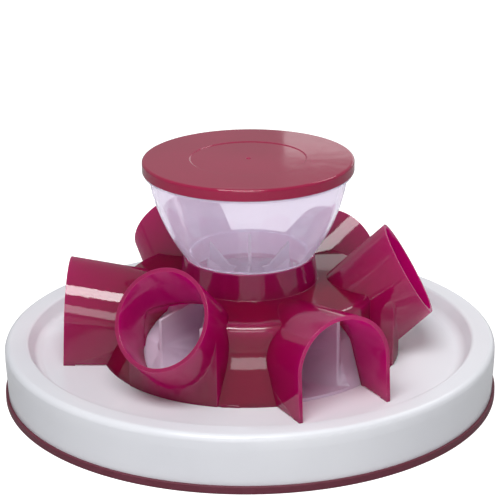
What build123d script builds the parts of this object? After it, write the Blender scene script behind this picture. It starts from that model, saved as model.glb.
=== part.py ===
"""Interactive cat feeder: a round tray on a rubber ring, a star-shaped food distributor,
a domed housing with three arched and three inclined round tunnels, and a clear food
bowl with a lid.

Millimetres, +Z up, origin on the ground under the centre of the tray.
Azimuths are counted from +X, anticlockwise seen from above.
"""
from build123d import *
import math
import os

# Tray
tray_radius = 150.0
tray_draft = 1.0
tray_height = 34.5
tray_wall = 2.6
tray_floor_z = 24.4
tray_draft_top = 26.0
tray_draft_blend = 8.0
rim_width = 14.0
rim_inner_run = 5.0
rim_crown = 0.3
rim_edge_radius = 4.0
rim_inner_edge_radius = 2.5
cove_radius = 7.0
tray_rib_count = 12
tray_rib_thickness = 1.8
tray_rib_depth = 9.0
tray_hub_radius = 30.0

# Non-slip ring under the tray's outer wall
ring_height = 4.7
ring_sole = 1.6
ring_proud = 1.8
ring_inner_lip = 1.8
ring_fit = 0.1
ring_foot_radius = 0.8
ring_lip_radius = 0.5

# Domed housing
housing_wall = 2.2
drum_foot_radius = 91.0
drum_waist_radius = 78.8
drum_waist_height = 25.6
drum_flare_radius = 40.0
drum_top_radius = 77.5
shoulder_height = 44.1
shoulder_rise = 2.0
shoulder_edge_radius = 4.0
collar_base_radius = 42.0
collar_top_radius = 39.8
collar_height = 15.5
collar_land = 2.0
seam_gap = 0.1

# Locating tabs of the housing and their slots in the tray floor
tab_count = 3
tab_first_azimuth = 264.0
tab_width = 10.0
tab_thickness = 1.6
tab_depth = 5.5
tab_slot_clearance = 0.5

# Tunnels
tunnel_width = 60.4
tunnel_wall = 2.3
arch_azimuths = {"left": 180, "front_right": 300, "rear_right": 60}
arch_to_cove = 19.0
arch_mouth_height = 58.1
arch_mouth_lean = 3.0
arch_roof_rise = 10.3
arch_wall_relief = 0.8
arch_foot_length = 7.0
sleeve_gap = 0.5
sleeve_inner_radius = 62.0
tube_azimuths = {"right": 0, "front_left": 240, "rear_left": 120}
tube_reach = 96.7
tube_mouth_height = 51.4
tube_mouth_tilt = 30.0
tube_incline = 42.5
skirt_proud = 0.5

# Food distributor
distributor_wall = 2.0
distributor_plate = 1.6
distributor_gap = 0.4
tower_waist_round = 6.0
tower_crown_radius = 58.5
tower_crown_round = 12.0
channel_width = 26.0
groove_floor_width = 5.5
groove_height = 24.0
mouth_flare_start = 57.6
mouth_flare_run = 20.0
throat_foot_radius = 19.0
throat_top_radius = 40.9
cone_height = 66.9
cone_foot_radius = 60.0
cone_waist_radius = 24.0
cone_waist_height = 38.1
cone_blend_radius = 90.0
cone_tip_radius = 0.8
cone_skin = 2.5
arch_guide_reach = 81.0
tube_guide_reach = 77.0
fin_thickness = 1.8
fin_radius = 28.0
fin_height = 63.6
fin_inner_radius = 14.0
fin_inner_height = 51.0
fin_root_radius = 4.0
fin_root_height = 20.0

# Food bowl
bowl_wall = 2.0
neck_clearance = 0.5
neck_depth = 13.0
bowl_foot_radius = 38.7
bowl_belly_radius = 55.0
bowl_belly_height = 23.0
bowl_belly_blend = 105.0
bowl_rim_radius = 60.9
bowl_height = 58.2
flange_width = 1.6
flange_thickness = 1.3

# Lid
lid_radius = 63.4
lid_thickness = 1.8
lid_skirt_depth = 6.9
lid_skirt_wall = 1.7
lid_seat_gap = 0.4
lid_edge_radius = 1.5
lid_plug_depth = 3.5
lid_plug_wall = 1.6
lid_plug_clearance = 1.2
lid_disc_radius = 34.5
lid_disc_depth = 0.4
gate_radius = 1.6
gate_depth = 0.5

# How far a cutting solid runs past the face that it cuts
cut_margin = 6.0

# Places worked out from the sizes above
tray_foot_radius = tray_radius - tray_draft
rim_inner_radius = tray_radius - rim_width
tray_floor_radius = rim_inner_radius - rim_inner_run
arch_reach = tray_floor_radius - arch_to_cove
shoulder_edge_z = tray_floor_z + shoulder_height
collar_base_z = shoulder_edge_z + shoulder_rise
collar_top_z = collar_base_z + collar_height
bowl_top_z = collar_top_z + bowl_height
lid_top_z = bowl_top_z + lid_thickness
tunnel_half = tunnel_width / 2
tunnel_inner_half = tunnel_half - tunnel_wall
channel_half = channel_width / 2
skirt_radius = drum_foot_radius + skirt_proud
tower_top_z = shoulder_edge_z - housing_wall - distributor_gap
neck_radius = collar_top_radius - housing_wall - neck_clearance
tunnel_pitch = 360 / (len(arch_azimuths) + len(tube_azimuths))


def turned(shape, azimuth):
    """The shape turned about the feeder's upright axis."""
    return Rot(0, 0, azimuth) * shape


def disc(radius, low, high):
    """An upright cylinder about the feeder's axis."""
    return Pos(0, 0, low) * Cylinder(radius, high - low, align=(Align.CENTER, Align.CENTER, Align.MIN))


def closed_outline(*corners):
    """A face in the XZ plane from (x, z, corner radius) corners."""
    points = [(x, z) for x, z, _ in corners]
    radii = [radius for _, _, radius in corners]
    return Plane.XZ * make_face(FilletPolyline(*points, radius=radii, close=True))


def lathe(*corners):
    """The solid that a closed outline of (radius, height, corner radius) sweeps about the axis."""
    return revolve(closed_outline(*corners), Axis.Z)


def lathe_skin(wall, *corners):
    """A revolved skin of even thickness on the inner side of an open outer profile."""
    points = [(radius, height) for radius, height, _ in corners]
    radii = [blend for _, _, blend in corners[1:-1]]
    profile = FilletPolyline(*points, radius=radii)
    section = make_face(offset(profile, amount=wall, side=Side.LEFT))
    return revolve(Plane.XZ * section, Axis.Z)


def upright_slab(half_width, *points):
    """A side outline of (x, z) points thickened evenly to both sides of the XZ plane."""
    face = Plane.XZ * make_face(Polyline(*points, close=True))
    return extrude(face, half_width, both=True)


def above_floor(shape, relief=0.0):
    """What is left of a shape above the tray's floor."""
    return shape - disc(tray_radius, tray_floor_z - tray_radius, tray_floor_z + relief)


def non_slip_ring():
    """Rubber ring of U section that the tray's outer wall sits in."""
    outer = tray_foot_radius + ring_proud
    groove_outer = tray_foot_radius + ring_fit
    groove_inner = tray_foot_radius - tray_wall - ring_fit
    inner = groove_inner - ring_inner_lip
    body = disc(outer, 0, ring_height) - disc(inner, 0, ring_height)
    body -= disc(groove_outer, ring_sole, ring_height) - disc(groove_inner, ring_sole, ring_height)
    sole_edges = body.edges().group_by(Axis.Z)[0].sort_by(SortBy.RADIUS)
    body = fillet(sole_edges[-1], ring_foot_radius)
    lip_edges = body.edges().group_by(Axis.Z)[-1].sort_by(SortBy.RADIUS)
    return fillet([lip_edges[0], lip_edges[-1]], ring_lip_radius)


def tab_places():
    """Azimuths of the housing's locating tabs."""
    return [tab_first_azimuth + place * 360 / tab_count for place in range(tab_count)]


def tab_block(clearance, low, high):
    """A locating tab, or with a clearance its slot, before it is turned to its azimuth."""
    middle = drum_foot_radius - housing_wall / 2
    block = Box(
        tab_thickness + 2 * clearance,
        tab_width + 2 * clearance,
        high - low,
        align=(Align.CENTER, Align.CENTER, Align.MIN),
    )
    return Pos(middle, 0, low) * block


def tray():
    """Dished tray with a broad rolled rim, hollow underneath and stiffened by ribs."""
    body = lathe_skin(
        tray_wall,
        (tray_foot_radius, ring_sole, 0),
        (tray_foot_radius, ring_height, 0),
        (tray_radius, tray_draft_top, tray_draft_blend),
        (tray_radius, tray_height, rim_edge_radius),
        (rim_inner_radius, tray_height + rim_crown, rim_inner_edge_radius),
        (tray_floor_radius, tray_floor_z, cove_radius),
        (0, tray_floor_z, 0),
    )
    rib_top = tray_floor_z - tray_wall / 2
    rib_low = tray_floor_z - tray_wall - tray_rib_depth
    rib_end = tray_foot_radius - tray_wall / 2
    rib = upright_slab(
        tray_rib_thickness / 2,
        (tray_hub_radius, rib_low),
        (rib_end, rib_low),
        (rib_end, rib_top),
        (tray_hub_radius, rib_top),
    )
    for place in range(tray_rib_count):
        body += turned(rib, place * 360 / tray_rib_count)
    body += disc(tray_hub_radius + tray_rib_thickness, rib_low, rib_top) - disc(
        tray_hub_radius, rib_low, rib_top
    )
    slot = tab_block(tab_slot_clearance, tray_floor_z - tray_wall - cut_margin, tray_floor_z + cut_margin)
    for azimuth in tab_places():
        body -= turned(slot, azimuth)
    return body


def drum(inset):
    """The housing's flared drum and shoulder as a solid, drawn in by an inset."""
    return lathe(
        (0, tray_floor_z, 0),
        (drum_foot_radius - inset, tray_floor_z, 0),
        (drum_waist_radius - inset, tray_floor_z + drum_waist_height, drum_flare_radius),
        (drum_top_radius - inset, shoulder_edge_z - inset, max(shoulder_edge_radius - inset, 0)),
        (collar_base_radius, collar_base_z - inset, 0),
        (0, collar_base_z - inset, 0),
    )


def collar(inset, overrun=0.0):
    """The tapered collar that holds the bowl, as a solid drawn in by an inset."""
    low = collar_base_z - housing_wall - overrun
    high = collar_top_z + overrun
    return lathe(
        (0, low, 0),
        (collar_base_radius - inset, low, 0),
        (collar_top_radius - inset, high, 0),
        (0, high, 0),
    )


def arch_block(inset):
    """An arched tunnel along +X with a rising roof, as a solid drawn in by an inset."""
    half = tunnel_half - inset
    slope = math.tan(math.radians(arch_roof_rise))
    start = arch_reach + cut_margin
    low = tray_floor_z - cut_margin
    springing = tray_floor_z + arch_mouth_height - tunnel_half + cut_margin * slope
    outline = Wire(
        [
            Edge.make_line((-half, low), (-half, springing)),
            Edge.make_three_point_arc((-half, springing), (0, springing + half), (half, springing)),
            Edge.make_line((half, springing), (half, low)),
            Edge.make_line((half, low), (-half, low)),
        ]
    )
    length = start / math.cos(math.radians(arch_roof_rise))
    return extrude(Plane.YZ.offset(start) * make_face(outline), length, dir=(-1, 0, -slope))


def arch_tunnel():
    """Arched tunnel along +X: straight walls under a round roof, open at both ends."""
    lean = math.radians(arch_mouth_lean)
    mouth = Plane(origin=(arch_reach, 0, tray_floor_z), z_dir=(math.cos(lean), 0, math.sin(lean)))
    shell = split(arch_block(0) - arch_block(tunnel_wall), bisect_by=mouth, keep=Keep.BOTTOM)
    shell = above_floor(shell)
    relief = Box(
        arch_reach - arch_foot_length,
        tunnel_width + cut_margin,
        arch_wall_relief,
        align=(Align.MIN, Align.CENTER, Align.MIN),
    )
    shell -= Pos(0, 0, tray_floor_z) * relief
    return shell - drum(-seam_gap) - collar(-seam_gap)


def tube_axis_z(reach):
    """Height of an inclined tunnel's axis at a distance from the feeder's axis."""
    return tray_floor_z + tube_mouth_height - (tube_reach - reach) * math.tan(math.radians(tube_incline))


def tube_rod(inset, overrun=0.0):
    """An inclined round tunnel over +X as a solid rod, drawn in by an inset."""
    incline = math.radians(tube_incline)
    tilt = math.radians(tube_mouth_tilt)
    axis = Vector(math.cos(incline), 0, math.sin(incline))
    mouth_middle = Vector(tube_reach, 0, tray_floor_z + tube_mouth_height) + axis * overrun
    mouth = Plane(origin=mouth_middle, x_dir=(0, 1, 0), z_dir=(math.cos(tilt), 0, math.sin(tilt)))
    length = tube_reach / math.cos(incline) + overrun
    return extrude(mouth * Circle(tunnel_half - inset), length, dir=-axis)


def tube_skirt(inset, radius):
    """The space under an inclined tunnel's axis, down through the tray's floor, out to a radius."""
    low = tray_floor_z - cut_margin
    start = tube_reach - (tray_floor_z + tube_mouth_height - low) / math.tan(math.radians(tube_incline))
    block = upright_slab(
        tunnel_half - inset,
        (start, low),
        (radius, low),
        (radius, tube_axis_z(radius)),
    )
    return block & disc(radius, low, tube_axis_z(radius))


def tube_tunnel():
    """Inclined round tunnel over +X with upright skirt walls down to the tray."""
    inner_radius = skirt_radius - tunnel_wall
    outer = tube_rod(0) + tube_skirt(0, skirt_radius)
    skirt_hollow = tube_skirt(tunnel_wall, inner_radius) - tube_rod(0)
    shell = above_floor(outer - tube_rod(tunnel_wall, cut_margin) - skirt_hollow)
    front_half = tunnel_inner_half - seam_gap
    front_slab = upright_slab(
        front_half,
        (inner_radius - cut_margin, tray_floor_z),
        (skirt_radius + cut_margin, tray_floor_z),
        (skirt_radius + cut_margin, collar_top_z),
        (inner_radius - cut_margin, collar_top_z),
    )
    front = shell & (front_slab - disc(inner_radius, tray_floor_z, collar_top_z))
    return (shell - drum(-seam_gap) - collar(-seam_gap)) + front


def dome_shell():
    """Flared drum, shoulder and collar in one shell, open to the six tunnels and below."""
    shell = drum(0) - drum(housing_wall) + collar(0) - collar(housing_wall, cut_margin)
    kept = disc(collar_base_radius + collar_land, tray_floor_z - cut_margin, collar_top_z)
    arch_opening = arch_block(tunnel_wall) - kept
    tube_opening = tube_rod(tunnel_wall, cut_margin) + tube_skirt(tunnel_wall, skirt_radius + cut_margin)
    tube_opening -= kept
    for azimuth in arch_azimuths.values():
        shell -= turned(arch_opening, azimuth)
    for azimuth in tube_azimuths.values():
        shell -= turned(tube_opening, azimuth)
    clear_of_tower = tower(-sleeve_gap) + disc(sleeve_inner_radius, tray_floor_z, collar_top_z)
    arch_sleeve = (arch_block(0) - arch_block(tunnel_wall)) & drum(housing_wall)
    tube_sleeve = (tube_rod(0) - tube_rod(tunnel_wall, cut_margin)) & drum(housing_wall)
    for azimuth in arch_azimuths.values():
        shell += turned(arch_sleeve - clear_of_tower, azimuth)
    for azimuth in tube_azimuths.values():
        shell += turned(tube_sleeve - clear_of_tower, azimuth)
    tab = tab_block(0, tray_floor_z - tab_depth, tray_floor_z + tab_thickness)
    for azimuth in tab_places():
        shell += turned(tab, azimuth)
    return shell


def tower(inset):
    """The domed block that stands in the drum, as a solid drawn in by an inset."""
    beside = housing_wall + distributor_gap + inset
    return lathe(
        (0, tray_floor_z, 0),
        (drum_foot_radius - beside, tray_floor_z, 0),
        (drum_waist_radius - beside, tray_floor_z + drum_waist_height, tower_waist_round),
        (tower_crown_radius - inset, tower_top_z - inset, tower_crown_round),
        (0, tower_top_z - inset, 0),
    )


def guides():
    """Slabs round the channels that reach from the tower into the tunnels."""
    joined = Part()
    for azimuths, reach in ((arch_azimuths, arch_guide_reach), (tube_azimuths, tube_guide_reach)):
        slab = Pos(0, 0, tray_floor_z) * Box(
            reach,
            2 * (channel_half + distributor_wall),
            tower_top_z - tray_floor_z,
            align=(Align.MIN, Align.CENTER, Align.MIN),
        )
        for azimuth in azimuths.values():
            joined += turned(slab, azimuth)
    return joined


def throat(margin, low):
    """The funnel-shaped space round the cone, grown sideways by a margin and cut off below."""
    return lathe(
        (0, low, 0),
        (throat_foot_radius + margin, low, 0),
        (throat_top_radius + margin, tower_top_z + cut_margin, 0),
        (0, tower_top_z + cut_margin, 0),
    )


def channel_space(margin, low):
    """The throat and the six channels, grown sideways by a margin and cut off below."""
    groove_low = tray_floor_z + distributor_plate
    groove_top = groove_low + groove_height
    high = collar_base_z + cut_margin
    half = channel_half + margin
    foot = groove_floor_width / 2 + margin
    section = Polyline(
        (-foot, groove_low - margin),
        (foot, groove_low - margin),
        (half, groove_top - margin),
        (half, high),
        (-half, high),
        (-half, groove_top - margin),
        close=True,
    )
    groove = extrude(Plane.YZ * make_face(section), drum_foot_radius + cut_margin)
    space = throat(margin, low)
    for azimuths, reach in ((arch_azimuths, arch_guide_reach), (tube_azimuths, tube_guide_reach)):
        end = reach - margin
        beside_guide = channel_half + distributor_wall + margin
        flared = beside_guide + mouth_flare_run
        plan = Polyline(
            (mouth_flare_start - margin, 0),
            (end, -half),
            (end, -beside_guide),
            (end + mouth_flare_run, -flared),
            (end + mouth_flare_run, flared),
            (end, beside_guide),
            (end, half),
            close=True,
        )
        mouth = Pos(0, 0, low) * extrude(make_face(plan), high - low)
        for azimuth in azimuths.values():
            space += turned(groove + mouth, azimuth)
    return space


def cone(skin):
    """The cone that sheds food outwards, or with a skin the hollow under it."""
    foot = tray_floor_z + distributor_plate
    return lathe(
        (0, tray_floor_z - skin, 0),
        (cone_foot_radius - skin, tray_floor_z - skin, 0),
        (cone_foot_radius - skin, foot - skin, 0),
        (cone_waist_radius - skin, tray_floor_z + cone_waist_height - skin, cone_blend_radius),
        (cone_tip_radius, tray_floor_z + cone_height - 2 * skin, 0),
        (0, tray_floor_z + cone_height - 2 * skin, 0),
    )


def distributor():
    """Tower with six channels round a cone, and six fins that split the flow from the bowl."""
    body = tower(0) + guides() - channel_space(0, tray_floor_z + distributor_plate)
    around_channels = channel_space(distributor_wall, tray_floor_z - cut_margin)
    body -= tower(distributor_wall) - around_channels
    body += cone(0) & (tower(0) & around_channels)
    fin = upright_slab(
        fin_thickness / 2,
        (fin_root_radius, tray_floor_z + fin_root_height),
        (fin_radius, tray_floor_z + fin_root_height),
        (fin_radius, tray_floor_z + fin_height),
        (fin_inner_radius, tray_floor_z + fin_inner_height),
        (fin_root_radius, tray_floor_z + fin_inner_height),
    )
    for azimuth in [*arch_azimuths.values(), *tube_azimuths.values()]:
        body += turned(fin, azimuth + tunnel_pitch / 2)
    return body - cone(cone_skin)


def hopper_bowl():
    """Clear bottomless bowl whose neck stands in the collar."""
    body = lathe_skin(
        bowl_wall,
        (neck_radius, collar_top_z - neck_depth, 0),
        (neck_radius, collar_top_z, 0),
        (bowl_foot_radius, collar_top_z, 0),
        (bowl_belly_radius, collar_top_z + bowl_belly_height, bowl_belly_blend),
        (bowl_rim_radius, bowl_top_z, 0),
    )
    flange_top = lid_top_z - lid_skirt_depth - lid_seat_gap
    flange = disc(bowl_rim_radius + flange_width, flange_top - flange_thickness, flange_top)
    body += flange - disc(bowl_rim_radius - bowl_wall / 2, 0, lid_top_z)
    return body - disc(lid_radius, bowl_top_z, lid_top_z)


def lid():
    """Snap-on lid with a short skirt and a plug ring that centres it in the bowl."""
    under = lid_top_z - lid_thickness
    skirt_inner = lid_radius - lid_skirt_wall
    plug_outer = bowl_rim_radius - bowl_wall - lid_plug_clearance
    plug_inner = plug_outer - lid_plug_wall
    body = lathe(
        (0, lid_top_z - lid_disc_depth, 0),
        (lid_disc_radius, lid_top_z - lid_disc_depth, 0),
        (lid_disc_radius + lid_disc_depth, lid_top_z, 0),
        (lid_radius, lid_top_z, lid_edge_radius),
        (lid_radius, lid_top_z - lid_skirt_depth, 0),
        (skirt_inner, lid_top_z - lid_skirt_depth, 0),
        (skirt_inner, under, 0),
        (plug_outer, under, 0),
        (plug_outer, under - lid_plug_depth, 0),
        (plug_inner, under - lid_plug_depth, 0),
        (plug_inner, under, 0),
        (0, under, 0),
    )
    dimple_top = lid_top_z - lid_disc_depth
    return body - disc(gate_radius, dimple_top - gate_depth, lid_top_z)


def make_all():
    """Every node of the feeder by name."""
    arch = arch_tunnel()
    tube = tube_tunnel()
    nodes = {
        "non_slip_ring": non_slip_ring(),
        "tray": tray(),
        "distributor": distributor(),
        "dome_shell": dome_shell(),
    }
    for place, azimuth in arch_azimuths.items():
        nodes[f"arch_tunnel_{place}"] = turned(arch, azimuth)
    for place, azimuth in tube_azimuths.items():
        nodes[f"tube_tunnel_{place}"] = turned(tube, azimuth)
    nodes["hopper_bowl"] = hopper_bowl()
    nodes["lid"] = lid()
    return nodes


os.makedirs("parts", exist_ok=True)
for name, solid in make_all().items():
    export_step(solid, f"parts/{name}.step")
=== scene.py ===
"""Looks of the interactive cat feeder: the finish of every moulding and the studio round it.

Everything is in metres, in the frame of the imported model: +Z up, origin on the ground
under the centre of the tray. The turned mouldings are surfaces of revolution worked out
here, from sizes in millimetres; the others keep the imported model's form with their faces
joined and smoothed.
"""

import logging
import math
from dataclasses import dataclass
from enum import Enum
from typing import Any

import bmesh
import bpy
import numpy as np
from mathutils import Matrix, Vector


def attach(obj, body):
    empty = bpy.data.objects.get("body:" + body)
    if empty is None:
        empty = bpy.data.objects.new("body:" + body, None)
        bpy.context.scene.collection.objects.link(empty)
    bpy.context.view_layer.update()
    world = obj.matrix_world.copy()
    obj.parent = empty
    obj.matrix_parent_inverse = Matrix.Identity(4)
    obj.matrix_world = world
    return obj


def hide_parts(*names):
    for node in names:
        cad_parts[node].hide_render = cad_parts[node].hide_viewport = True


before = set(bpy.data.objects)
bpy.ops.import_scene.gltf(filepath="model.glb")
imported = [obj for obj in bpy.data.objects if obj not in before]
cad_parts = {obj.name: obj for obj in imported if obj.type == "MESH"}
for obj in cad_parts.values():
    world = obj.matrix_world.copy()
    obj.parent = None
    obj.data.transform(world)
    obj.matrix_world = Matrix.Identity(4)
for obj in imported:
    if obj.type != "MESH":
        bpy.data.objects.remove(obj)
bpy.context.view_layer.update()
LOG = logging.getLogger("feeder")

SocketValue = Any
Colour = tuple[float, float, float]
Place = tuple[float, float, float]
Corner = tuple[float, float, float]
Range = tuple[float, float]

# Shapes: faces round the axis and along a rounded corner, and the turn under which a corner is none
MM_IN_METRE = 1000
ROUND_FACES = 192
ARC_FACES = 8
STRAIGHT_TURN = 1e-6

# Joining: metres between points that are one, and a weight that lets large faces set the shading
MERGE_DISTANCE = 0.000002
AREA_WEIGHT = 100

# Finishes: the middle of a noise, where its clouds lie, and the lean of a normal near an edge
WHITE = (1.0, 1.0, 1.0, 1.0)
SHARE: Range = (0.0, 1.0)
CLOUDY: Range = (0.35, 0.65)
NOISE_MEAN = 0.5
EDGE_LEAN: Range = (0.99, 0.86)
BEVEL_SAMPLES = 4
PLAIN_SPECULAR = 0.5

# Sockets of the Mix node that carry colours
MIX_FIRST = 6
MIX_SECOND = 7
MIX_RESULT = 2


def linear(red: int, green: int, blue: int) -> Colour:
    """Turn an 8-bit display colour into the linear colour that a shader takes.

    Formula: with s the channel's share of 255, s / 12.92 up to 0.04045 and
    ((s + 0.055) / 1.055) to the power of 2.4 above it.

    Args:
        red: the red channel, 0 to 255.
        green: the green channel, 0 to 255.
        blue: the blue channel, 0 to 255.

    Returns:
        The linear colour, 0 to 1.
    """

    def channel(value: int) -> float:
        """Undo the display curve of one channel."""
        share = value / 255
        return share / 12.92 if share <= 0.04045 else ((share + 0.055) / 1.055) ** 2.4

    return channel(red), channel(green), channel(blue)


def opaque(colour: Colour) -> tuple[float, float, float, float]:
    """Give a colour the full alpha that a colour socket wants."""
    return (*colour, 1.0)


class Slot(Enum):
    """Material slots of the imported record."""

    WHITE = "white_plastic"
    RUBBER = "burgundy_rubber"
    TINTED = "burgundy_plastic"
    LID = "lid_plastic"
    CLEAR = "clear_plastic"


class Body(Enum):
    """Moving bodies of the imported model."""

    BASE = "base"
    HOUSING = "housing"
    BOWL = "bowl"
    LID = "lid"


@dataclass(frozen=True)
class Cells:
    """A noise pattern: cells in a metre, and octaves."""

    in_metre: float
    octaves: float = 2.0


class Signal:
    """A node socket that takes part in Python arithmetic, adding a Math node for each step."""

    def __init__(self, maker: "Maker", socket: bpy.types.NodeSocket) -> None:
        """Keep the socket and the maker that it belongs to."""
        self.maker = maker
        self.socket = socket

    def _math(self, operation: str, first: SocketValue, second: SocketValue) -> "Signal":
        """Add one Math node and give its result."""
        return self.maker.node("ShaderNodeMath", {"operation": operation}, {0: first, 1: second})

    def __add__(self, other: SocketValue) -> "Signal":
        """Sum of the two."""
        return self._math("ADD", self, other)

    __radd__ = __add__

    def __sub__(self, other: SocketValue) -> "Signal":
        """This less the other."""
        return self._math("SUBTRACT", self, other)

    def __rsub__(self, other: SocketValue) -> "Signal":
        """The other less this."""
        return self._math("SUBTRACT", other, self)

    def __mul__(self, other: SocketValue) -> "Signal":
        """Product of the two."""
        return self._math("MULTIPLY", self, other)

    __rmul__ = __mul__


class Maker:
    """Builds the nodes of one material or world."""

    def __init__(self, owner: bpy.types.Material | bpy.types.World) -> None:
        """Start an empty node tree.

        Args:
            owner: the material or world that the nodes belong to.
        """
        owner.use_nodes = True
        self.owner = owner
        self.tree = owner.node_tree
        self.tree.nodes.clear()

    def add(
        self,
        kind: str,
        settings: dict[str, Any] | None = None,
        inputs: dict[int | str, SocketValue] | None = None,
    ) -> bpy.types.Node:
        """Add a node, set it up and wire it.

        Args:
            kind: the node's Blender type.
            settings: its properties, set first.
            inputs: values or signals by socket name or number.

        Returns:
            The node.
        """
        made = self.tree.nodes.new(kind)
        for key, value in (settings or {}).items():
            setattr(made, key, value)
        for key, value in (inputs or {}).items():
            if isinstance(value, Signal):
                self.tree.links.new(value.socket, made.inputs[key])
            else:
                made.inputs[key].default_value = value
        return made

    def node(
        self,
        kind: str,
        settings: dict[str, Any] | None = None,
        inputs: dict[int | str, SocketValue] | None = None,
        output: int | str = 0,
    ) -> Signal:
        """Add a node and give one of its outputs.

        Args:
            kind: the node's Blender type.
            settings: its properties, set first.
            inputs: values or signals by socket name or number.
            output: the socket whose signal is given back.

        Returns:
            The named output as a signal.
        """
        return Signal(self, self.add(kind, settings, inputs).outputs[output])

    def place(self) -> Signal:
        """Object coordinates, in metres."""
        return self.node("ShaderNodeTexCoord", output="Object")

    def noise(self, cells: Cells) -> Signal:
        """Noise over the object, about 0 to 1."""
        inputs = {"Vector": self.place(), "Scale": cells.in_metre, "Detail": cells.octaves}
        return self.node("ShaderNodeTexNoise", inputs=inputs)

    def between(self, factor: SocketValue, low: Colour | Signal, high: Colour) -> Signal:
        """Mix two colours.

        Args:
            factor: 0 for the first colour and 1 for the second.
            low: the first colour.
            high: the second colour.

        Returns:
            The mixed colour.
        """
        first = low if isinstance(low, Signal) else opaque(low)
        inputs = {0: factor, MIX_FIRST: first, MIX_SECOND: opaque(high)}
        return self.node("ShaderNodeMix", {"data_type": "RGBA"}, inputs, MIX_RESULT)

    def span(self, value: Signal, values: Range, onto: Range = SHARE) -> Signal:
        """Map one range of a value onto another, clamped at both ends.

        Args:
            value: the value.
            values: its range.
            onto: what the ends of that range become.

        Returns:
            The mapped value.
        """
        inputs = {
            "Value": value,
            "From Min": values[0],
            "From Max": values[1],
            "To Min": onto[0],
            "To Max": onto[1],
        }
        return self.node("ShaderNodeMapRange", {"clamp": True}, inputs)

    def soft_edge(self, radius: float) -> Signal:
        """A normal that rounds the edges of a moulding by a radius."""
        return self.node("ShaderNodeBevel", {"samples": BEVEL_SAMPLES}, {"Radius": radius})

    def edge_highlight_mask(self, rounded_normal: Signal) -> Signal:
        """How near a moulding's edge a point lies, as the mask of a painted edge highlight.

        Formula: the dot product of the rounded and the plain normal is 1 on a flat face and
        falls towards an edge; EDGE_LEAN holds the values where the edge starts and is full.

        Args:
            rounded_normal: the normal that rounds the edges.

        Returns:
            The share of the painted edge highlight, 0 to 1.
        """
        plain = self.node("ShaderNodeNewGeometry", output="Normal")
        inputs = {0: rounded_normal, 1: plain}
        lean = self.node("ShaderNodeVectorMath", {"operation": "DOT_PRODUCT"}, inputs, output="Value")
        return self.span(lean, EDGE_LEAN)

    def bump(self, height: Signal, depth: float, normal: Signal) -> Signal:
        """A normal from a height signal.

        Args:
            height: the height, 0 to 1.
            depth: metres between heights 0 and 1.
            normal: the normal that it bends.

        Returns:
            The bent normal.
        """
        inputs = {"Distance": depth, "Height": height, "Normal": normal}
        return self.node("ShaderNodeBump", inputs=inputs)

    def mixed(self, factor: SocketValue, first: Signal, second: Signal) -> Signal:
        """Mix two shaders: 0 for the first and 1 for the second."""
        return self.node("ShaderNodeMixShader", inputs={0: factor, 1: first, 2: second})

    def ray(self, kind: str) -> Signal:
        """Whether the ray is of a kind, such as Camera: 1 if it is."""
        return self.node("ShaderNodeLightPath", output=f"Is {kind} Ray")

    def seen(self) -> Signal:
        """1 for what the camera sees, directly or through clear plastic."""
        inputs = {0: self.ray("Camera"), 1: self.ray("Transmission")}
        return self.node("ShaderNodeMath", {"operation": "MAXIMUM"}, inputs)

    def surface(self, shader: Signal) -> bpy.types.Material | bpy.types.World:
        """Wire the shader to the output.

        Args:
            shader: the finished shader.

        Returns:
            The material or world.
        """
        owner_kind = "World" if isinstance(self.owner, bpy.types.World) else "Material"
        self.add(f"ShaderNodeOutput{owner_kind}", inputs={"Surface": shader})
        return self.owner


# Finishes

@dataclass(frozen=True)
class WhiteMoulding:
    """Satin white plastic of the tray and the distributor."""

    name: str = "white_moulding"
    base: Colour = linear(228, 229, 234)
    shade: Colour = linear(222, 223, 229)
    clouds: Cells = Cells(9.0, 3.0)
    roughness: float = 0.3
    sheen: Cells = Cells(24.0, 1.0)
    sheen_swing: float = 0.08
    grain: Cells = Cells(900.0)
    grain_depth: float = 0.000003
    edge: float = 0.0005
    ior: float = 1.49
    # Painted shade: a darker lilac colour mixed in below one height and gone above another.
    painted_shade: Colour | None = None
    shade_below: float = 0.058
    unshaded_above: float = 0.08

    def material(self) -> bpy.types.Material:
        """Build the finish: faint clouds in the colour, fine moulding grain and rounded edges.

        Returns:
            The material, with a painted shade, darker and lilac, mixed in below a height if there is one.
        """
        maker = Maker(bpy.data.materials.new(self.name))
        colour = maker.between(maker.span(maker.noise(self.clouds), CLOUDY), self.shade, self.base)
        # Painted shade: darker lilac colour low down, where the housing shades the distributor.
        if self.painted_shade:
            height = maker.node("ShaderNodeSeparateXYZ", inputs={"Vector": maker.place()}, output="Z")
            low = maker.span(height, (self.shade_below, self.unshaded_above), (1.0, 0.0))
            colour = maker.between(low, colour, self.painted_shade)
        rough = self.roughness + (maker.noise(self.sheen) - NOISE_MEAN) * self.sheen_swing
        normal = maker.bump(maker.noise(self.grain), self.grain_depth, maker.soft_edge(self.edge))
        inputs = {"Base Color": colour, "Roughness": rough, "IOR": self.ior, "Normal": normal}
        return maker.surface(maker.node("ShaderNodeBsdfPrincipled", inputs=inputs))


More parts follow.
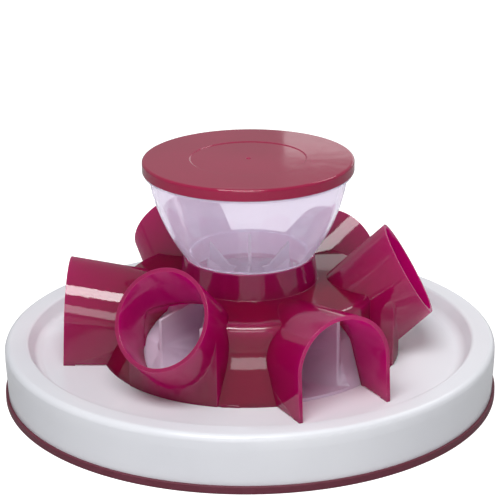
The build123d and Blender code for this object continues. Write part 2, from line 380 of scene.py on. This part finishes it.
@dataclass(frozen=True)
class RingRubber:
    """Matt burgundy rubber of the non-slip ring."""

    name: str = "ring_rubber"
    base: Colour = linear(92, 26, 46)
    dusty: Colour = linear(112, 52, 70)
    dust: Cells = Cells(140.0, 4.0)
    dust_range: Range = (0.52, 0.8)
    most_dust: float = 0.5
    dust_roughness: float = 0.2
    roughness: float = 0.6
    grain: Cells = Cells(1800.0, 3.0)
    grain_depth: float = 0.00002
    edge: float = 0.0004
    ior: float = 1.5

    def material(self) -> bpy.types.Material:
        """Build the finish: matt rubber with a little dust and a fine grain.

        Returns:
            The material.
        """
        maker = Maker(bpy.data.materials.new(self.name))
        dust = maker.span(maker.noise(self.dust), self.dust_range, (0.0, self.most_dust))
        normal = maker.bump(maker.noise(self.grain), self.grain_depth, maker.soft_edge(self.edge))
        inputs = {
            "Base Color": maker.between(dust, self.base, self.dusty),
            "Roughness": self.roughness + dust * self.dust_roughness,
            "IOR": self.ior,
            "Normal": normal,
        }
        return maker.surface(maker.node("ShaderNodeBsdfPrincipled", inputs=inputs))


@dataclass(frozen=True)
class TintedPlastic:
    """Polished burgundy plastic; what light passes through it comes out magenta."""

    name: str = "tinted_plastic"
    deep: Colour = linear(118, 10, 44)
    light: Colour = linear(128, 14, 52)
    # Painted highlight: a pale pink colour mixed in along the moulding's edges.
    through: Colour = linear(242, 30, 188)
    painted_edge_highlight: Colour = linear(214, 96, 138)
    share_through: float = 0.5
    transmission: float = 0.15
    flow: Cells = Cells(16.0, 1.0)
    roughness: float = 0.05
    sheen: Cells = Cells(160.0, 4.0)
    sheen_range: Range = (0.35, 0.75)
    sheen_swing: float = 0.03
    ripple: Cells = Cells(55.0, 1.0)
    ripple_depth: float = 0.00003
    edge: float = 0.0006
    # Painted highlight: the most of that pale colour that an edge takes.
    painted_edge_highlight_share: float = 0.7
    shine: float = 0.68
    ior: float = 1.49

    def material(self) -> bpy.types.Material:
        """Build the finish: a glossy tinted body, the light that it lets through, and a pale painted
        highlight along the edges.

        Returns:
            The material.
        """
        maker = Maker(bpy.data.materials.new(self.name))
        soft = maker.soft_edge(self.edge)
        body_colour = maker.between(maker.span(maker.noise(self.flow), CLOUDY), self.deep, self.light)
        # Painted highlight: pale pink colour along the edges, strongest where the rounded normal leans
        # most.
        colour = maker.between(maker.edge_highlight_mask(soft) * self.painted_edge_highlight_share, body_colour, self.painted_edge_highlight)
        rough_range = (self.roughness, self.roughness + self.sheen_swing)
        inputs = {
            "Base Color": colour,
            "Roughness": maker.span(maker.noise(self.sheen), self.sheen_range, rough_range),
            "IOR": self.ior,
            "Specular IOR Level": self.shine / (1 - self.share_through),
            "Transmission Weight": self.transmission,
            "Normal": maker.bump(maker.noise(self.ripple), self.ripple_depth, soft),
        }
        body = maker.node("ShaderNodeBsdfPrincipled", inputs=inputs)
        glow = maker.node("ShaderNodeBsdfTranslucent", inputs={"Color": opaque(self.through)})
        return maker.surface(maker.mixed(self.share_through, body, glow))


@dataclass(frozen=True)
class ClearPlastic:
    """Clear plastic of the bowl with a faint lavender cast."""

    name: str = "clear_plastic"
    tint: Colour = linear(234, 231, 233)
    haze_and_glow: Colour = linear(236, 229, 254)
    share_haze: float = 0.2
    share_back: float = 0.5
    # Painted light: strength of a lavender glow that the plastic gives off.
    painted_glow: float = 0.125
    roughness: float = 0.02
    sheen: Cells = Cells(220.0, 4.0)
    sheen_range: Range = (0.4, 0.8)
    sheen_swing: float = 0.03
    ripple: Cells = Cells(40.0, 1.0)
    ripple_depth: float = 0.00003
    edge: float = 0.0004
    ior: float = 1.45

    def material(self) -> bpy.types.Material:
        """Build the finish: clear plastic with a thin milky haze, and a painted lavender glow that
        brightens the whole bowl.

        Returns:
            The material.
        """
        maker = Maker(bpy.data.materials.new(self.name))
        soft = maker.soft_edge(self.edge)
        rough_range = (self.roughness, self.roughness + self.sheen_swing)
        inputs = {
            "Base Color": opaque(self.tint),
            "Roughness": maker.span(maker.noise(self.sheen), self.sheen_range, rough_range),
            "IOR": self.ior,
            "Specular IOR Level": PLAIN_SPECULAR / (1 - self.share_haze),
            "Transmission Weight": 1.0,
            # Painted light: the plastic glows faintly in the haze's lavender, brightening the whole bowl.
            "Emission Color": opaque(self.haze_and_glow),
            "Emission Strength": self.painted_glow,
            "Normal": maker.bump(maker.noise(self.ripple), self.ripple_depth, soft),
        }
        body = maker.node("ShaderNodeBsdfPrincipled", inputs=inputs)
        front = maker.node("ShaderNodeBsdfDiffuse", inputs={"Color": opaque(self.haze_and_glow)})
        back = maker.node("ShaderNodeBsdfTranslucent", inputs={"Color": opaque(self.haze_and_glow)})
        milk = maker.mixed(self.share_back, front, back)
        return maker.surface(maker.mixed(self.share_haze, body, milk))


# Shapes

def placed(name: str, data: bpy.types.ID) -> bpy.types.Object:
    """Make an object of some data and put it in the scene.

    Args:
        name: the object's name.
        data: its mesh, lamp or camera.

    Returns:
        The object.
    """
    made = bpy.data.objects.new(name, data)
    bpy.context.scene.collection.objects.link(made)
    return made


def rounded(corners: list[Corner]) -> tuple[np.ndarray, np.ndarray]:
    """Round the corners of a closed outline of (radius, height, corner radius), in millimetres.

    Formula: where the outline turns by an angle t, an arc of radius r starts r tan(t/2) before
    the corner, and its points are centre + r (cos a, sin a). The outline runs with the solid on
    its left, so the outward normal is the tangent turned a quarter clockwise.

    Args:
        corners: the outline's corners.

    Returns:
        The outline's points and their outward normals, in metres.
    """
    points = []
    normals = []
    flat = np.array([(x, z) for x, z, _ in corners]) / MM_IN_METRE
    for number, (_, _, radius) in enumerate(corners):
        here = flat[number]
        into = here - flat[number - 1]
        away = flat[(number + 1) % len(flat)] - here
        into /= np.linalg.norm(into)
        away /= np.linalg.norm(away)
        out_first = np.array([into[1], -into[0]])
        turn = math.atan2(into[0] * away[1] - into[1] * away[0], float(into @ away))
        if radius == 0 or abs(turn) < STRAIGHT_TURN:
            middle = out_first + np.array([away[1], -away[0]])
            points.append(here[None])
            normals.append(middle[None] / np.linalg.norm(middle))
            continue
        size = radius / MM_IN_METRE
        side = math.copysign(1.0, turn)
        start = here - into * size * math.tan(abs(turn) / 2)
        centre = start - out_first * size * side
        angles = math.atan2(*(out_first * side)[::-1]) + turn * np.linspace(0, 1, ARC_FACES + 1)
        spokes = np.stack([np.cos(angles), np.sin(angles)], axis=1)
        points.append(centre + spokes * size)
        normals.append(spokes * side)
    return np.concatenate(points), np.concatenate(normals)


def turned(profile: np.ndarray, spin: np.ndarray) -> np.ndarray:
    """Turn the pairs of a profile about the feeder's axis.

    Formula: turned(i, a) = (r_i cos a, r_i sin a, z_i).

    Args:
        profile: (radius, height) pairs.
        spin: (cos a, sin a) pairs.

    Returns:
        A row for each pair of the profile, with a column for each angle.
    """
    level = profile[:, None, :1] * spin[None]
    upright = np.broadcast_to(profile[:, None, 1:], (len(profile), len(spin), 1))
    return np.concatenate([level, upright], axis=2)


def revolved(name: str, corners: list[Corner]) -> bpy.types.Object:
    """Sweep a closed outline about the feeder's axis.

    Formula: each point of the outline goes once round the axis, and its normal turns with it.
    A point on the axis is kept once, so the bands beside it are fans of triangles.

    Args:
        name: the piece's name.
        corners: (radius, height, corner radius) in millimetres, the solid on the left.

    Returns:
        The piece, with exact normals.
    """
    outline, facing = rounded(corners)
    angles = np.arange(ROUND_FACES) * 2 * math.pi / ROUND_FACES
    spin = np.stack([np.cos(angles), np.sin(angles)], axis=1)
    grid = turned(outline, spin)
    bent = turned(facing, spin)
    on_axis = np.isclose(outline[:, 0], 0.0)
    bent[on_axis] = np.sign(facing[on_axis, 1])[:, None, None] * np.array([0.0, 0.0, 1.0])

    kept = ~on_axis[:, None] | (np.arange(ROUND_FACES) == 0)
    rows = np.cumsum(kept).reshape(kept.shape) - 1
    following = np.roll(rows, -1, axis=0)
    beside = np.roll(rows, -1, axis=1)
    across = np.roll(following, -1, axis=1)
    quads = np.stack([rows, beside, across, following], axis=2)

    ends_on_axis = np.roll(on_axis, -1)
    opening_fan = quads[on_axis & ~ends_on_axis][..., [0, 2, 3]].reshape(-1, 3)
    bands = quads[~on_axis & ~ends_on_axis].reshape(-1, 4)
    closing_fan = quads[~on_axis & ends_on_axis][..., [0, 1, 2]].reshape(-1, 3)
    faces = opening_fan.tolist() + bands.tolist() + closing_fan.tolist()

    mesh = bpy.data.meshes.new(name)
    mesh.from_pydata(grid[kept].tolist(), [], faces)
    mesh.shade_smooth()
    mesh.normals_split_custom_set_from_vertices(bent[kept].tolist())
    return placed(name, mesh)


def joined(node: str, crease_deg: float) -> bpy.types.Object:
    """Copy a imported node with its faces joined, smooth but for edges above an angle.

    Args:
        node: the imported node's name.
        crease_deg: faces that meet at more than this stay sharp.

    Returns:
        The piece.
    """
    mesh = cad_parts[node].data.copy()
    mesh.name = f"{node}_smooth"
    work = bmesh.new()
    work.from_mesh(mesh)
    bmesh.ops.remove_doubles(work, verts=work.verts, dist=MERGE_DISTANCE)
    bmesh.ops.dissolve_degenerate(work, edges=work.edges, dist=MERGE_DISTANCE)
    work.to_mesh(mesh)
    work.free()
    mesh.shade_smooth()
    mesh.set_sharp_from_angle(angle=math.radians(crease_deg))
    piece = placed(mesh.name, mesh)
    weighted = piece.modifiers.new("even_shading", "WEIGHTED_NORMAL")
    weighted.keep_sharp = True
    weighted.weight = AREA_WEIGHT
    return piece


def dress(
    piece: bpy.types.Object, material: bpy.types.Material, slot: Slot, body: Body, *nodes: str
) -> None:
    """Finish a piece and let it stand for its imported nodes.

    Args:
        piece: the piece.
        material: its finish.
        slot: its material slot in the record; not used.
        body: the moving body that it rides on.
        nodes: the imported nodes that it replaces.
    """
    piece.data.materials.clear()
    piece.data.materials.append(material)
    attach(piece, body.value)
    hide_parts(*nodes)
    LOG.info("%s: %d faces", piece.name, len(piece.data.polygons))


# Sub-assemblies

@dataclass
class Base:
    """The tray on its rubber ring, with the distributor on its floor. Millimetres."""

    ring_outer: float = 150.8
    ring_groove_outer: float = 149.1
    ring_groove_inner: float = 146.3
    ring_inner: float = 144.5
    ring_height: float = 4.7
    ring_sole: float = 1.6
    ring_foot_round: float = 0.8
    ring_lip_round: float = 0.5
    groove_round: float = 0.2
    tray_crease_deg: float = 30.0
    distributor_crease_deg: float = 24.0
    # Painted shade: the darker lilac colour of the distributor low down inside the housing.
    painted_lilac_shade: Colour = linear(196, 181, 200)

    def ring(self) -> bpy.types.Object:
        """Make the rubber ring: a U section whose groove holds the tray's outer wall.

        Returns:
            The ring.
        """
        corners = [
            (self.ring_inner, 0, self.groove_round),
            (self.ring_outer, 0, self.ring_foot_round),
            (self.ring_outer, self.ring_height, self.ring_lip_round),
            (self.ring_groove_outer, self.ring_height, self.groove_round),
            (self.ring_groove_outer, self.ring_sole, self.groove_round),
            (self.ring_groove_inner, self.ring_sole, self.groove_round),
            (self.ring_groove_inner, self.ring_height, self.groove_round),
            (self.ring_inner, self.ring_height, self.ring_lip_round),
        ]
        return revolved("rubber_ring", corners)

    def build(self) -> None:
        """Make and dress the base."""
        white = WhiteMoulding().material()
        # Painted shade: the distributor's finish is darker and lilac low down inside the housing.
        shaded = WhiteMoulding("painted_shade_moulding", painted_shade=self.painted_lilac_shade).material()
        dress(self.ring(), RingRubber().material(), Slot.RUBBER, Body.BASE, "non_slip_ring")
        dress(joined("tray", self.tray_crease_deg), white, Slot.WHITE, Body.BASE, "tray")
        distributor = joined("distributor", self.distributor_crease_deg)
        dress(distributor, shaded, Slot.WHITE, Body.BASE, "distributor")


@dataclass
class Housing:
    """The domed housing with its six tunnels."""

    crease_deg: float = 28.0
    nodes: tuple[str, ...] = (
        "dome_shell",
        "arch_tunnel_left",
        "arch_tunnel_front_right",
        "arch_tunnel_rear_right",
        "tube_tunnel_right",
        "tube_tunnel_front_left",
        "tube_tunnel_rear_left",
    )

    def build(self) -> None:
        """Make and dress the housing."""
        tinted = TintedPlastic().material()
        for node in self.nodes:
            dress(joined(node, self.crease_deg), tinted, Slot.TINTED, Body.HOUSING, node)


@dataclass
class Bowl:
    """The clear bottomless bowl. Millimetres."""

    neck_radius: float = 37.1
    wall: float = 2.0
    low: float = 73.0
    neck_end_round: float = 0.4
    collar_top: float = 86.0
    step_inner_round: float = 0.3
    foot_radius: float = 38.7
    foot_round: float = 0.6
    belly_radius: float = 55.0
    belly_z: float = 109.0
    belly_blend: float = 105.0
    rim_radius: float = 60.9
    rim_z: float = 144.2
    lip_round: float = 0.6
    flange_reach: float = 62.5
    flange_low: float = 137.4
    flange_high: float = 138.7
    flange_root_round: float = 0.2
    flange_round: float = 0.4
    belly_lift: float = 0.6
    foot_wall: float = 1.1
    foot_lift: float = 2.0
    foot_inner_round: float = 1.5
    neck_lift: float = 0.6
    neck_inner_round: float = 1.0

    def build(self) -> None:
        """Make and dress the bowl: outer face up to the rim, inner face down to the neck."""
        rise = (self.rim_radius - self.belly_radius) / (self.rim_z - self.belly_z)
        at_low = self.belly_radius + rise * (self.flange_low - self.belly_z)
        at_high = self.belly_radius + rise * (self.flange_high - self.belly_z)
        neck_inner = self.neck_radius - self.wall
        foot_inner = self.foot_radius - self.foot_wall
        corners = [
            (neck_inner, self.low, self.neck_end_round),
            (self.neck_radius, self.low, self.neck_end_round),
            (self.neck_radius, self.collar_top, self.step_inner_round),
            (self.foot_radius, self.collar_top, self.foot_round),
            (self.belly_radius, self.belly_z, self.belly_blend),
            (at_low, self.flange_low, self.flange_root_round),
            (self.flange_reach, self.flange_low, self.flange_round),
            (self.flange_reach, self.flange_high, self.flange_round),
            (at_high, self.flange_high, self.flange_root_round),
            (self.rim_radius, self.rim_z, self.lip_round),
            (self.rim_radius - self.wall, self.rim_z, self.lip_round),
            (self.belly_radius - self.wall, self.belly_z + self.belly_lift, self.belly_blend - self.wall),
            (foot_inner, self.collar_top + self.foot_lift, self.foot_inner_round),
            (neck_inner, self.collar_top + self.neck_lift, self.neck_inner_round),
        ]
        bowl = revolved("clear_bowl", corners)
        dress(bowl, ClearPlastic().material(), Slot.CLEAR, Body.BOWL, "hopper_bowl")


@dataclass
class Lid:
    """The snap-on lid. Millimetres."""

    radius: float = 63.4
    top: float = 146.0
    thickness: float = 1.8
    skirt_depth: float = 6.9
    skirt_wall: float = 1.7
    edge_round: float = 1.5
    disc_radius: float = 34.5
    disc_depth: float = 0.4
    plug_outer: float = 57.7
    plug_wall: float = 1.6
    plug_depth: float = 3.5
    small_round: float = 0.3
    dimple_radius: float = 1.6
    dimple_depth: float = 0.5
    dimple_round: float = 0.15
    deep: Colour = linear(150, 12, 60)
    light: Colour = linear(158, 16, 66)
    share_through: float = 0.12
    shine: float = 0.5

    def outline(self) -> list[Corner]:
        """Lay out the top, the skirt and the plug ring in one outline.

        Returns:
            The outline's corners.
        """
        under = self.top - self.thickness
        low = self.top - self.skirt_depth
        panel = self.top - self.disc_depth
        small = self.small_round
        return [
            (0, under, 0),
            (self.plug_outer - self.plug_wall, under, small),
            (self.plug_outer - self.plug_wall, under - self.plug_depth, small),
            (self.plug_outer, under - self.plug_depth, small),
            (self.plug_outer, under, small),
            (self.radius - self.skirt_wall, under, small),
            (self.radius - self.skirt_wall, low, small),
            (self.radius, low, small),
            (self.radius, self.top, self.edge_round),
            (self.disc_radius + self.disc_depth, self.top, small),
            (self.disc_radius, panel, small),
            (self.dimple_radius, panel, self.dimple_round),
            (self.dimple_radius, panel - self.dimple_depth, self.dimple_round),
            (0, panel - self.dimple_depth, 0),
        ]

    def build(self) -> None:
        """Make and dress the lid."""
        finish = TintedPlastic(
            "lid_plastic",
            self.deep,
            self.light,
            transmission=0.0,
            share_through=self.share_through,
            shine=self.shine,
        )
        lid = revolved("snap_lid", self.outline())
        dress(lid, finish.material(), Slot.LID, Body.LID, "lid")


# Studio

@dataclass
class Lamp:
    """One soft box: where it hangs, its width and height, its power in watts and what it faces."""

    name: str
    place: Place
    size: tuple[float, float]
    power: float
    aim: Place = (0.0, 0.0, 0.06)

    def build(self) -> None:
        """Hang the soft box, facing its aim."""
        data = bpy.data.lights.new(self.name, "AREA")
        data.shape = "RECTANGLE"
        data.size, data.size_y = self.size
        data.energy = self.power
        facing = Vector(self.aim) - Vector(self.place)
        lamp = placed(self.name, data)
        lamp.location = self.place
        lamp.rotation_euler = facing.to_track_quat("-Z", "Y").to_euler()


@dataclass
class Studio:
    """Pale floor, soft lamps and the camera at the photograph's viewing angle. Metres."""

    focal_px: float = 1802.46
    frame_px: float = 500.0
    sensor_mm: float = 36.0
    near: float = 0.05
    far: float = 50.0
    distance: float = 1.02894
    height: float = 0.45603
    pitch_deg: float = 19.70
    roll_deg: float = -0.51
    yaw_deg: float = 0.04
    side: float = -0.00008
    azimuth_deg: float = 1.24
    floor_size: float = 12.0
    floor_tone: float = 0.6
    floor_glow: float = 0.85
    room_colour: Colour = (0.95, 0.97, 1.0)
    room_light: float = 0.2
    mirrored_share: float = 0.35
    lamps: tuple[Lamp, ...] = (
        Lamp("box_top", (-0.15, -0.8, 1.45), (1.0, 0.62), 22.5),
        Lamp("box_front", (0.0, -1.85, 0.52), (0.95, 0.6), 5.5),
        Lamp("box_right", (0.92, 0.95, 1.45), (0.6, 0.5), 5.0),
        Lamp("box_back", (0.87, 2.5, 0.5), (1.7, 0.8), 3.8, (0.87, 0.0, 0.5)),
    )

    def camera(self) -> None:
        """Make the camera in front of the feeder, then turn it round the feeder's axis.

        Formula: it looks along (sin yaw cos pitch, cos yaw cos pitch, -sin pitch) and rolls
        about that line.
        """
        yaw = math.radians(self.yaw_deg)
        pitch = math.radians(self.pitch_deg)
        roll = math.radians(self.roll_deg)
        ahead = math.cos(pitch)
        forward = Vector((math.sin(yaw) * ahead, math.cos(yaw) * ahead, -math.sin(pitch)))
        level = Vector((math.cos(yaw), -math.sin(yaw), 0))
        above = level.cross(forward)
        right = level * math.cos(roll) + above * math.sin(roll)
        up = above * math.cos(roll) - level * math.sin(roll)
        axes = Matrix((right, up, -forward)).transposed().to_4x4()
        turn = Matrix.Rotation(math.radians(self.azimuth_deg), 4, "Z")
        stand = Matrix.Translation((self.side, -self.distance, self.height))
        data = bpy.data.cameras.new("camera")
        data.sensor_width = self.sensor_mm
        data.lens = self.focal_px / self.frame_px * self.sensor_mm
        data.clip_start = self.near
        data.clip_end = self.far
        camera = placed("camera", data)
        camera.matrix_world = turn @ stand @ axes
        bpy.context.scene.camera = camera

    def world(self) -> None:
        """White for what the camera sees, partly white in reflections, soft light for the rest."""
        maker = Maker(bpy.data.worlds.new("studio"))
        white = maker.node("ShaderNodeBackground", inputs={"Color": WHITE, "Strength": 1.0})
        room = {"Color": opaque(self.room_colour), "Strength": self.room_light}
        soft = maker.node("ShaderNodeBackground", inputs=room)
        white_share = maker.ray("Glossy") * self.mirrored_share + maker.seen()
        bpy.context.scene.world = maker.surface(maker.mixed(white_share, soft, white))

    def floor(self) -> None:
        """A pale floor that stays white round the object's soft shadow."""
        half = self.floor_size / 2
        corners = [(-half, -half, 0), (half, -half, 0), (half, half, 0), (-half, half, 0)]
        mesh = bpy.data.meshes.new("floor")
        mesh.from_pydata(corners, [], [(0, 1, 2, 3)])
        floor = placed("floor", mesh)
        maker = Maker(bpy.data.materials.new("floor"))
        tone = opaque((self.floor_tone,) * 3)
        diffuse = maker.node("ShaderNodeBsdfDiffuse", inputs={"Color": tone})
        glow = maker.node("ShaderNodeEmission", inputs={"Color": WHITE, "Strength": self.floor_glow})
        lit = maker.node("ShaderNodeAddShader", inputs={0: diffuse, 1: glow})
        mesh.materials.append(maker.surface(maker.mixed(maker.seen(), diffuse, lit)))

    def build(self) -> None:
        """Make the whole studio."""
        self.camera()
        self.world()
        self.floor()
        for lamp in self.lamps:
            lamp.build()
        bpy.context.scene.view_settings.view_transform = "Standard"


def main() -> None:
    """Build the studio and dress the feeder."""
    logging.basicConfig(level=logging.INFO, format="%(message)s")
    Studio().build()
    for part in (Base(), Housing(), Bowl(), Lid()):
        part.build()
        LOG.info("built %s", type(part).__name__)


if __name__ == "__main__":
    main()
